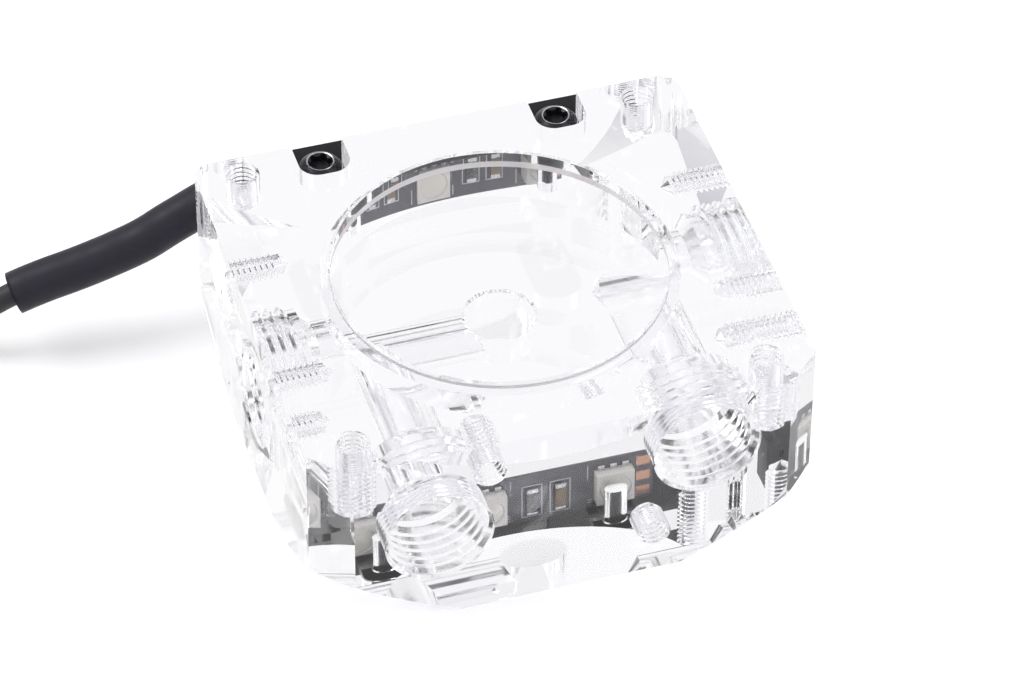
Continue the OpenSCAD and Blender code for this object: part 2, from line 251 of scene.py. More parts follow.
class PumpTopCamera(bpy.types.PropertyGroup):
    azimuth: angle_setting("Azimuth", "Camera's turn from the front face", -17.348)
    elevation: angle_setting("Elevation", "Camera's height angle", 42.948)
    roll: angle_setting("Roll", "Camera's turn about its own line", 0.371)
    distance: bpy.props.FloatProperty(
        name="Distance", description="Camera to the target point", default=0.6231, unit="LENGTH"
    )
    target: bpy.props.FloatVectorProperty(
        name="Target",
        description="Point at the picture's centre",
        default=(0.001763, 0.000584, 0.012),
        subtype="TRANSLATION",
        unit="LENGTH",
        precision=6,
    )
    lens: bpy.props.FloatProperty(name="Lens", description="Focal length", default=180.53, unit="CAMERA")


class PumpTopBlock(bpy.types.PropertyGroup):
    cone_radius: size_setting("Cone radius", "Turned bevel at the outer face", 32.6)
    front_chamfer: size_setting("Front chamfer", "Cut on the two front corners", 4.4)
    back_radius: size_setting("Back radius", "Rounding of the two back corners", 2.5)
    cavity_radius: size_setting("Cavity radius", "Mouth of the pump cavity", 20.35)
    cavity_floor: size_setting("Cavity floor", "Height of the cavity floor", 17.4)
    chamber_radius: size_setting("Chamber radius", "Pump cavity below its lip", 21.6)
    lip: size_setting("Lip", "Thickness of the cavity's lip", 2.5)
    eye_radius: size_setting("Eye radius", "Hole in the cavity floor", 4.3)
    inlet_height: size_setting("Inlet height", "Axis of the inlet ports", 12.8)
    outlet_height: size_setting("Outlet height", "Axis of the outlet ports", 18.0)
    front_port: size_setting("Front port offset", "Centre line to each front port", 16.35)
    notch_offset: size_setting("Notch offset", "Centre line to each notch", 15.1)
    notch_width: size_setting("Notch width", "Width of each notch", 6.4)
    notch_reach: size_setting("Notch reach", "Back face to the front of each notch", 6.0)
    notch_floor: size_setting("Notch floor", "Height of the notches' floor", 20.8)
    notch_radius: size_setting("Notch radius", "Rounding of the notches' inner corners", 2.4)


class PumpTopFinish(bpy.types.PropertyGroup):
    cover: colour_setting("Light cover", "161619")
    screws: colour_setting("Screws", "202125")
    sleeve: colour_setting("Sleeve", "24212B")
    cable: colour_setting("Cable", "242428")
    board: colour_setting("Strip", "484852")
    floor: colour_setting("Floor", "FFFFFF")


# camera and cords
class PUMPTOP_OT_camera(bpy.types.Operator):
    """Places the camera at the photograph's angle"""

    bl_idname = "pumptop.camera"
    bl_label = "Camera"

    def execute(self, context):
        p = context.scene.pump_top_camera
        out = Vector(
            (
                math.sin(p.azimuth) * math.cos(p.elevation),
                -math.cos(p.azimuth) * math.cos(p.elevation),
                math.sin(p.elevation),
            )
        )
        right = (-out).cross(Vector((0, 0, 1))).normalized()
        up = right.cross(-out)
        tilted_right = right * math.cos(p.roll) + up * math.sin(p.roll)
        tilted_up = up * math.cos(p.roll) - right * math.sin(p.roll)
        data = bpy.data.cameras.new("photo_camera")
        data.lens = p.lens
        data.sensor_width = 36.0
        data.clip_start = 0.01
        data.clip_end = 20.0
        camera = bpy.data.objects.new("photo_camera", data)
        place = Vector(p.target) + out * p.distance
        camera.matrix_world = Matrix(
            (
                (tilted_right.x, tilted_up.x, out.x, place.x),
                (tilted_right.y, tilted_up.y, out.y, place.y),
                (tilted_right.z, tilted_up.z, out.z, place.z),
                (0, 0, 0, 1),
            )
        )
        context.scene.collection.objects.link(camera)
        context.scene.camera = camera
        return {"FINISHED"}


# the lead's free route from the cover's end, in metres, as in the part's source
SLEEVE_ROUTE = [
    (-0.0277, 0.03035, 0.0176),
    (-0.0292, 0.03035, 0.01695),
    (-0.0312, 0.03035, 0.01595),
    (-0.0336, 0.03035, 0.01475),
    (-0.0367, 0.0303, 0.01315),
    (-0.0398, 0.03025, 0.0121),
    (-0.0429, 0.0302, 0.01125),
    (-0.0459, 0.0302, 0.0105),
    (-0.049, 0.03025, 0.0098),
    (-0.0514, 0.0303, 0.00915),
    (-0.0534, 0.0304, 0.00845),
]
SHEATH_START = [
    (-0.0272, 0.02975, 0.01785),
    (-0.0292, 0.02985, 0.01695),
    (-0.0312, 0.02995, 0.01595),
    (-0.0336, 0.0301, 0.01475),
]
FREE_ROUTE = [
    (-0.057, 0.0308, 0.0066),
    (-0.061, 0.0314, 0.0048),
    (-0.065, 0.032, 0.0031),
    (-0.069, 0.0326, 0.0021),
    (-0.073, 0.0331, 0.0016),
    (-0.077, 0.0334, 0.0015),
    (-0.0805, 0.0335, 0.0015),
]
TAIL_ROUTE = [
    (-0.1026, 0.0228, 0.0045),
    (-0.1046, 0.019, 0.0042),
    (-0.1058, 0.0145, 0.0032),
    (-0.106, 0.01, 0.0021),
    (-0.1057, 0.0056, 0.0016),
    (-0.1049, 0.0012, 0.0015),
    (-0.1037, -0.003, 0.0015),
    (-0.1023, -0.007, 0.0015),
    (-0.1008, -0.0106, 0.0015),
]
COIL_CENTRE = (-0.084, 0.012)
COIL_START = 90.0
COIL_TURNS = 4
# radii of the two lower turns, in millimetres
COIL_OUTER, COIL_INNER = 21.43, 18.43
CABLE_DIAMETER = 0.003
SLEEVE_DIAMETER = 5.4 * MM
SLEEVE_WALL = 0.5 * MM
# the wires and their solder pads, in millimetres
WIRE_DIAMETER = 0.8
PAD_PITCH = 2.54
# from the board's left edge and front face to the middle of each wire's end
PAD_INSET, WIRE_HEIGHT = 1.6, 0.475
# the turn, in degrees, over which the coil steps to its next ring
COIL_STEP = 60.0
# the smooth curve dips this much between its points
COIL_LIFT = 0.00006


def coil_place(angle):
    """A point of the coil: two turns side by side and two on top, with even steps between them."""
    d = CABLE_DIAMETER / MM
    turn, rest = divmod(angle, 360.0)
    s = min(rest / COIL_STEP, 1.0)
    s = s * s * (3 - 2 * s)
    quarter = s * math.pi / 2
    steps = [(COIL_OUTER - d * s, d / 2), (COIL_INNER - d * s, d / 2)]
    steps.append((steps[1][0] - d * math.cos(quarter), steps[1][1] + d * math.sin(quarter)))
    steps.append((steps[2][0] + d * math.sin(quarter), steps[2][1] + d * math.cos(quarter)))
    steps.append((steps[3][0] + d, steps[3][1]))
    radius, height = steps[int(turn)]
    a = math.radians(COIL_START + angle)
    return (
        COIL_CENTRE[0] + radius * MM * math.cos(a),
        COIL_CENTRE[1] + radius * MM * math.sin(a),
        height * MM + COIL_LIFT,
    )


LEAD_ENDS = ("tie_band", "connector_shell", "socket_contacts")


class PUMPTOP_OT_lead(bpy.types.Operator):
    """Makes the cable with its coil, the shrink sleeve and the three soldered wires"""

    bl_idname = "pumptop.lead"
    bl_label = "Lead"

    def execute(self, context):
        finish = context.scene.pump_top_finish
        # PVC sheath, extruded: satin, with a faint orange peel
        sheath = moulded("extruded_pvc_sheath", finish.cable, 0.42, 0.55, 1.2, 0.25)
        coil = [coil_place(a) for a in range(0, COIL_TURNS * 360 + int(COIL_STEP), 15)]
        route = SHEATH_START + SLEEVE_ROUTE[4:] + FREE_ROUTE + coil + TAIL_ROUTE
        route = [(x, y, max(z, CABLE_DIAMETER / 2 + COIL_LIFT)) for x, y, z in route]
        # Heat shrunk polyolefin: dull black with a soft sheen, slightly uneven over what it grips
        shrunk = moulded("shrunk_polyolefin_tube", finish.sleeve, 0.42, 0.56, 0.6, 0.35, ior=1.35)
        sleeve = tube_curve("shrink_sleeve_tube", [SLEEVE_ROUTE], SLEEVE_DIAMETER, shrunk, 10, capped=False)
        wall = sleeve.modifiers.new("wall", "SOLIDIFY")
        wall.thickness = SLEEVE_WALL
        wall.offset = -1.0
        wall.use_even_offset = True
        wall.use_rim = True
        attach(sleeve, "root")
        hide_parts("shrink_sleeve")
        # Tinned stranded wires in thin PVC
        wire_skin = moulded("thin_pvc_wire_skin", "38383C", 0.35, 0.5, 2.0, 0.2)
        first = Vector(SHEATH_START[0])
        pad_x, pad_y = BOARD_LOW[0] + PAD_INSET, BOARD_FACE - WIRE_HEIGHT
        left = Vector((-MM, 0, 0))
        half = WIRE_DIAMETER / 2
        routes = []
        for i in (-1, 0, 1):
            start = Vector((pad_x, pad_y, BOARD_MIDDLE + i * PAD_PITCH)) * MM
            end = first + Vector((-i * half, -half, i * 1.1 * WIRE_DIAMETER)) * MM
            middle = (start + end) / 2 + left * 0.4
            routes.append([start, start + left, middle, end - left * 0.3, end])
        wires = tube_curve("solder_wires", routes, WIRE_DIAMETER * MM, wire_skin, sides=3)
        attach(wires, "root")
        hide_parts("lead_wires")
        cable = tube_curve("lead_cable", [route], CABLE_DIAMETER, sheath)
        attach(cable, "root")
        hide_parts("cable", "cable_coil")
        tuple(SHEATH_START[0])
        return {"FINISHED"}


# the clear block; all its sizes are in millimetres
UP, DOWN, TO_RIGHT, TO_LEFT, TO_BACK = (0, 0, 1), (0, 0, -1), (1, 0, 0), (-1, 0, 0), (0, 1, 0)
# how far one cut reaches into the next, and the radius of a drill's point
OVERLAP, POINT = 0.02, 0.01
# the cavity's frosted band under its lip, and the small bevels of its two rims
FROSTED_BAND = 0.92
EYE_RIM, MOUTH_RIM = 0.3, 0.25
# ports with G 1/4 threads: the tapped hole, the drill's shoulder and the bores behind it
PORT_TAP, PORT_MAJOR, PORT_PITCH, PORT_RUNOUT = 5.725, 6.58, 1.337, 1.3
SIDE_PORT_DEPTH, FRONT_PORT_DEPTH, PORT_SHOULDER = 6.5, 9.0, 1.4
SIDE_INLET_BORE, FRONT_INLET_BORE, OUTLET_BORE = 3.3, 3.7, 3.65
OUTLET_BORE_END, OUTLET_TIP = 13.6, 2.2
# the countersink at each port's mouth: how far it starts outside, its length and its radii
MOUTH_START, MOUTH_LENGTH, MOUTH_RADII = 0.3, 0.9, (6.98, 6.08)
# small holes with M4 threads: the tapped hole and the drill's tip
HOLE_TAP, HOLE_MAJOR, HOLE_PITCH, HOLE_RUNOUT, HOLE_TIP = 1.65, 2.05, 0.7, 0.7, 1.0
PUMP_HOLE_X, PUMP_HOLE_Y, PUMP_HOLE_DEPTH = 25.2, 24.6, 9.0
UPPER_HOLES, LOWER_HOLE = 21.3, 5.7
SIDE_HOLE_Y, SIDE_HOLE_DEPTH = 9.9, 6.5
FORE_HOLE_Y, FORE_LEFT_DEPTH, FORE_RIGHT_DEPTH = -17.8, 4.0, 9.0
FRONT_HOLE_X, FRONT_HOLE_DEPTH = 10.1, 7.0
# holes for the cover's two screws
COVER_SCREW_Y, COVER_SCREW_RADIUS, COVER_HOLE_END = 25.8, 1.5, 15.4


def solid(bm, material):
    """A temporary object in millimetres from a bmesh, for a Boolean."""
    bmesh.ops.recalc_face_normals(bm, faces=bm.faces)
    mesh = bpy.data.meshes.new("tool")
    bm.to_mesh(mesh)
    bm.free()
    mesh.materials.append(material)
    tool = bpy.data.objects.new("tool", mesh)
    bpy.context.scene.collection.objects.link(tool)
    return tool


def standing_at(place, direction):
    """The matrix that moves an upright shape to a place and turns it along a direction."""
    turn = Vector(UP).rotation_difference(Vector(direction)).to_matrix().to_4x4()
    return Matrix.Translation(place) @ turn


def round_bar(start, direction, length, radius, end_radius=None, segments=96):
    """A cylinder or cone along a direction."""
    bm = bmesh.new()
    centre = Vector(start) + Vector(direction) * (length / 2)
    bmesh.ops.create_cone(
        bm,
        cap_ends=True,
        segments=segments,
        radius1=radius,
        radius2=radius if end_radius is None else end_radius,
        depth=length,
        matrix=standing_at(centre, direction),
    )
    return bm


def thread_tool(start, direction, depth, minor, major, pitch, steps):
    """The helical cutter of one thread: a V, spun inwards from just outside the mouth."""
    bm = bmesh.new()
    root, crest = 0.47 * pitch, 0.08 * pitch
    inner = minor - 0.1
    section = [(inner, -root), (major, -crest), (major, crest), (inner, root)]
    face = bm.faces.new([bm.verts.new((x, 0, z)) for x, z in section])
    lead_in = 0.8 * pitch
    turns = (depth + lead_in) / pitch
    count = int(turns * steps)
    bmesh.ops.spin(
        bm,
        geom=[face] + list(face.edges) + list(face.verts),
        axis=(0, 0, 1),
        cent=(0, 0, 0),
        dvec=(0, 0, pitch / steps),
        angle=2 * math.pi * count / steps,
        steps=count,
    )
    begin = Vector(start) - Vector(direction) * lead_in
    bmesh.ops.transform(bm, matrix=standing_at(begin, direction), verts=bm.verts)
    return bm


def extrude_up(bm, corners, low, height):
    """Adds an upright prism over a flat outline."""
    face = bm.faces.new([bm.verts.new((x, y, low)) for x, y in corners])
    made = bmesh.ops.extrude_face_region(bm, geom=[face])
    up = [v for v in made["geom"] if isinstance(v, bmesh.types.BMVert)]
    bmesh.ops.translate(bm, vec=(0, 0, height), verts=up)


def round_uprights(bm, radius, segments, chosen):
    """Rounds the upright edges whose two ends pass a test on their depth in y."""
    edges = [
        e
        for e in bm.edges
        if abs(e.verts[0].co.z - e.verts[1].co.z) > 1 and all(chosen(v.co.y) for v in e.verts)
    ]
    bmesh.ops.bevel(
        bm, geom=edges, offset=radius, segments=segments, profile=0.5, affect="EDGES", material=-1
    )


class PUMPTOP_OT_block(bpy.types.Operator):
    """Makes the clear block with its cavity, ports, threads and notches"""

    bl_idname = "pumptop.block"
    bl_label = "Acrylic block"

    def outline(self, p):
        """The block's outline, extruded to its height."""
        x0, y0, _ = BLOCK_LOW
        x1, y1, top = BLOCK_HIGH
        c = p.front_chamfer
        corners = [(x0, y0 + c), (x0 + c, y0), (x1 - c, y0), (x1, y0 + c), (x1, y1), (x0, y1)]
        bm = bmesh.new()
        extrude_up(bm, corners, 0, top)
        round_uprights(bm, p.back_radius, 16, lambda y: abs(y - y1) < 0.01)
        return bm

    def notch(self, p, x):
        """The tool of one cover notch, its two inner corners round."""
        back = BLOCK_HIGH[1] + 1
        front = BLOCK_HIGH[1] - p.notch_reach
        left, right = x - p.notch_width / 2, x + p.notch_width / 2
        bm = bmesh.new()
        extrude_up(bm, [(left, back), (left, front), (right, front), (right, back)], p.notch_floor, 8)
        round_uprights(bm, p.notch_radius, 10, lambda y: y < front + 1)
        return bm

    def cavity_cuts(self, p, polished, machined, frosted):
        """The chamber under its lip, the hole in its floor and the bevels of their rims."""
        top = BLOCK_HIGH[2]
        floor = (0, 0, p.cavity_floor)
        chamber = top - p.lip - p.cavity_floor
        yield round_bar(floor, UP, 12, p.cavity_radius, segments=256), polished
        yield round_bar(floor, UP, chamber, p.chamber_radius, segments=256), polished
        # the cutter that opened the chamber left the lip's lower edge frosted
        edge = (0, 0, top - p.lip - OVERLAP)
        yield round_bar(edge, UP, FROSTED_BAND, p.cavity_radius + 0.05, segments=256), frosted
        eye = (0, 0, p.inlet_height - SIDE_INLET_BORE)
        yield round_bar(eye, UP, 9, p.eye_radius, segments=128), machined
        rims = ((p.eye_radius, p.cavity_floor, EYE_RIM), (p.cavity_radius, top, MOUTH_RIM))
        for radius, height, width in rims:
            start = (0, 0, height - width)
            yield round_bar(start, UP, 2 * width, radius, radius + 2 * width, 256), polished

    def port_cuts(self, p, machined, tapped):
        """The four ports: tapped hole, shoulder, bore, countersink and thread of each."""
        right, front = BLOCK_HIGH[0], BLOCK_LOW[1]
        side, fore = SIDE_PORT_DEPTH, FRONT_PORT_DEPTH
        ports = [
            ((-right, 0, p.inlet_height), TO_RIGHT, side, SIDE_INLET_BORE, right),
            ((-p.front_port, front, p.inlet_height), TO_BACK, fore, FRONT_INLET_BORE, -front),
            ((right, 0, p.outlet_height), TO_LEFT, side, OUTLET_BORE, right - OUTLET_BORE_END),
            ((p.front_port, front, p.outlet_height), TO_BACK, fore, OUTLET_BORE, -front),
        ]
        for place, way, depth, bore, reach in ports:
            mouth, inwards = Vector(place), Vector(way)
            yield round_bar(mouth - inwards, way, depth + 1, PORT_TAP, segments=128), tapped
            shoulder = mouth + inwards * (depth - OVERLAP)
            yield round_bar(shoulder, way, PORT_SHOULDER + OVERLAP, PORT_TAP, bore, 128), machined
            yield round_bar(mouth + inwards * depth, way, reach - depth, bore), machined
            outside = mouth - inwards * MOUTH_START
            yield round_bar(outside, way, MOUTH_LENGTH, *MOUTH_RADII, 128), machined
            yield thread_tool(place, way, depth - PORT_RUNOUT, PORT_TAP, PORT_MAJOR, PORT_PITCH, 64), tapped
        tip = (OUTLET_BORE_END + OVERLAP, 0, p.outlet_height)
        yield round_bar(tip, TO_LEFT, OUTLET_TIP, OUTLET_BORE, POINT), machined

    def small_hole_cuts(self, machined, tapped):
        """The twelve small holes: tapped hole, drill tip and thread of each."""
        right, _, top = BLOCK_HIGH
        front = BLOCK_LOW[1]
        holes = []
        for x in (-PUMP_HOLE_X, PUMP_HOLE_X):
            for y in (-PUMP_HOLE_Y, PUMP_HOLE_Y):
                holes.append(((x, y, top), DOWN, PUMP_HOLE_DEPTH))
        for y in (-SIDE_HOLE_Y, SIDE_HOLE_Y):
            holes.append(((-right, y, UPPER_HOLES), TO_RIGHT, SIDE_HOLE_DEPTH))
            holes.append(((right, y, UPPER_HOLES), TO_LEFT, SIDE_HOLE_DEPTH))
        holes += [
            ((-right, FORE_HOLE_Y, UPPER_HOLES), TO_RIGHT, FORE_LEFT_DEPTH),
            ((right, FORE_HOLE_Y, UPPER_HOLES), TO_LEFT, FORE_RIGHT_DEPTH),
            ((-FRONT_HOLE_X, front, UPPER_HOLES), TO_BACK, FRONT_HOLE_DEPTH),
            ((FRONT_HOLE_X, front, LOWER_HOLE), TO_BACK, FRONT_HOLE_DEPTH),
        ]
        for place, way, depth in holes:
            mouth, inwards = Vector(place), Vector(way)
            yield round_bar(mouth - inwards, way, depth + 1, HOLE_TAP, segments=48), tapped
            end = mouth + inwards * (depth - OVERLAP / 2)
            yield round_bar(end, way, HOLE_TIP, HOLE_TAP, POINT, 48), machined
            yield thread_tool(place, way, depth - HOLE_RUNOUT, HOLE_TAP, HOLE_MAJOR, HOLE_PITCH, 32), tapped

    def notch_cuts(self, p, machined):
        """The cover's two notches with their screw holes."""
        for x in (-p.notch_offset, p.notch_offset):
            yield self.notch(p, x), machined
            hole = (x, COVER_SCREW_Y, COVER_HOLE_END)
            yield round_bar(hole, UP, 7, COVER_SCREW_RADIUS, segments=48), machined

    def execute(self, context):
        p = context.scene.pump_top_block
        # Cast acrylic, diamond milled and polished outside: almost no haze
        polished = clear_acrylic("polished_cast_acrylic", 0.0, 0.012, 0.2)
        # The same acrylic where a drill or an end mill left it: slightly hazy
        machined = clear_acrylic("machined_cast_acrylic", 0.09, 0.16, 1.2)
        # The same acrylic under a tap: the flanks are frosted
        tapped = clear_acrylic("tapped_cast_acrylic", 0.1, 0.17, 2.0)
        # The same acrylic where a cutter's corner rubbed: milky
        frosted = clear_acrylic("rubbed_cast_acrylic", 0.45, 0.6, 2.0, "F5F0F1", clear_share=0.3)
        cuts = [
            *self.cavity_cuts(p, polished, machined, frosted),
            *self.port_cuts(p, machined, tapped),
            *self.small_hole_cuts(machined, tapped),
            *self.notch_cuts(p, machined),
        ]
        tools = [solid(bm, skin) for bm, skin in cuts]
        block = solid(self.outline(p), polished)
        # the bevel turned round the block's sides, at 45 degrees
        rise = 2 * BLOCK_HIGH[2]
        cone = round_bar((0, 0, 0), UP, rise, p.cone_radius, p.cone_radius + rise, segments=360)
        cone = solid(cone, polished)
        steps = [(cone, "INTERSECT")] + [(tool, "DIFFERENCE") for tool in tools]
        for tool, what in steps:
            step = block.modifiers.new("cut", "BOOLEAN")
            step.operation = what
            step.solver = "MANIFOLD"
            step.material_mode = "TRANSFER"
            step.object = tool
        evaluated = block.evaluated_get(context.evaluated_depsgraph_get())
        bm = bmesh.new()
        bm.from_mesh(evaluated.to_mesh())
        skins = [bpy.data.materials[m.name] for m in evaluated.data.materials]
        for tool in tools + [cone, block]:
            bpy.data.objects.remove(tool)
        if not bm.faces:
            raise RuntimeError("the block's cuts left nothing")
        finish_piece("clear_block", bm, skins, ["acrylic_block"], smooth_angle=28)
        return {"FINISHED"}


# cover and screws, in millimetres
HEAD_RADIUS, HEAD_HEIGHT = 2.8, 1.9
SHANK_RADIUS, SHANK_LENGTH = 1.45, 6.0


class PUMPTOP_OT_cover(bpy.types.Operator):
    """Makes the black cover with its lugs and the two button head screws"""

    bl_idname = "pumptop.cover"
    bl_label = "Cover and screws"

    def cover(self, finish):
        """The black cover with its lugs, its sharp edges broken."""
        # Milled acetal: black, dull, with a fine grain
        acetal = moulded("milled_black_acetal", finish.cover, 0.38, 0.52, 3.0, 0.3, ior=1.25)
        bm = merged_copy("light_cover")
        # without a hair of air before it, the flange would show through the clear back
        for vert in bm.verts:
            if abs(vert.co.y - BLOCK_HIGH[1]) < 0.02:
                vert.co.y += AIR
        soften(bm, 0.15)
        finish_piece("strip_cover", bm, [acetal], ["light_cover"])

    def screws(self, finish):
        """The two screws, turned from half sections, with six lobes in their sockets."""
        # Black oxide on steel: dark grey, half gloss, with a painted highlight on its rim
        oxide = moulded("black_oxide_steel", finish.screws, 0.24, 0.38, 4.0, 0.25, metallic=0.55)
        # Pale bright steel on the two sharp edges: a painted highlight, standing in for the light they
        # catch
        bright = moulded("painted_highlight_steel_edge", "B9B9BE", 0.2, 0.34, 4.0, 0.2, metallic=1.0)
        low, high = box_mm("cover_screws")
        radius, height = HEAD_RADIUS, HEAD_HEIGHT
        head_low = high[2] - height
        y = (low[1] + high[1]) / 2
        places = (low[0] + radius, high[0] - radius)
        # half sections of the head and of the shank, as radius and height, turned round the axis
        head = [
            (SHANK_RADIUS, 0.0),
            (radius - 0.12, 0.0),
            (radius, 0.12),
            (radius, 0.75),
            (radius - 0.12, 1.05),
            (radius - 0.42, 1.4),
            (radius - 0.8, 1.68),
            (1.72, height - 0.04),
            (1.68, height),
            (1.56, height - 0.06),
            (1.4, height - 0.3),
            (1.4, 0.75),
            (0.02, 0.55),
        ]
        shank = [
            (0.02, -SHANK_LENGTH),
            (SHANK_RADIUS - 0.4, -SHANK_LENGTH),
            (SHANK_RADIUS, 0.5 - SHANK_LENGTH),
        ]
        bm = bmesh.new()
        for x in places:
            verts = [bm.verts.new((x + r, y, head_low + h)) for r, h in head]
            edges = [bm.edges.new(pair) for pair in zip(verts, verts[1:])]
            tail = [bm.verts.new((x + r, y, head_low + h)) for r, h in shank]
            edges += [bm.edges.new(pair) for pair in zip(tail, tail[1:])]
            edges.append(bm.edges.new((tail[-1], verts[0])))
            bmesh.ops.spin(
                bm,
                geom=edges + verts + tail,
                axis=(0, 0, 1),
                cent=(x, y, 0),
                angle=2 * math.pi,
                steps=96,
                use_merge=True,
            )
        bmesh.ops.remove_doubles(bm, verts=bm.verts, dist=0.001)
        # six lobes: the socket's wall is pulled in and out six times round
        for vert in bm.verts:
            for x in places:
                dx, dy = vert.co.x - x, vert.co.y - y
                r = math.hypot(dx, dy)
                if 1.3 < r < 1.5 and head_low + 0.5 < vert.co.z < head_low + height + 0.01:
                    lobe = 1.0 + 0.11 * math.cos(6 * math.atan2(dy, dx)) - 0.02
                    vert.co.x, vert.co.y = x + dx * lobe, vert.co.y + dy * (lobe - 1)
        bmesh.ops.holes_fill(bm, edges=[e for e in bm.edges if e.is_boundary], sides=0)
        bmesh.ops.recalc_face_normals(bm, faces=bm.faces)
        # the head's shoulder and the socket's rim get the pale steel, a painted highlight
        for face in bm.faces:
            centre = face.calc_center_median()
            r = min(math.hypot(centre.x - x, centre.y - y) for x in places)
            outer = radius - 0.12 < r < radius + 0.01 and centre.z > head_low + 0.8
            inner = 1.54 < r < 1.72 and centre.z > head_low + height - 0.08
            face.material_index = 1 if outer or inner else 0
        finish_piece("button_screws", bm, [oxide, bright], ["cover_screws"], smooth_angle=40)

    def execute(self, context):
        finish = context.scene.pump_top_finish
        self.cover(finish)
        self.screws(finish)
        return {"FINISHED"}


# light strip, in millimetres
LIGHT_SIDE = 5.0
# half the width of one chip of each node
CHIP_HALVES = {"chip_resistors": 0.8, "chip_capacitors": 0.75}
# the ink's height and line width, and half the size of the outline round a chip
INK, LINE = 0.04, 0.16
OUTLINE_X, OUTLINE_Z = 1.3, 2.6
# ticks beside each light: offset, height of the first, step and length
TICK_X, TICK_TOP, TICK_STEP, TICK_LENGTH = 3.0, 3.4, 0.45, 0.5
# upright strokes beside each light: offset, drop below the middle and length
STROKES = [(-3.3, 2.2, 2.4), (3.3, 2.6, 1.6)]
# the cup in each light: its depth, and its radii at the mouth and at the floor
CUP_DEPTH, CUP_MOUTH, CUP_FLOOR = 0.65, 2.15, 1.75
# the resin in the cup: its middle behind the light's face, its depth and its radii
RESIN_PLACE, RESIN_DEPTH, RESIN_RADII = 0.36, 0.5, (1.78, 2.02)
# solder joints of a light's legs and of a chip's ends: sizes and places
LEG, LEG_PITCH, LEG_Z = (0.95, 0.4, 0.75), 1.6, 2.85
CHIP_JOINT, CHIP_JOINT_Z = (1.5, 0.44, 0.8), 1.85


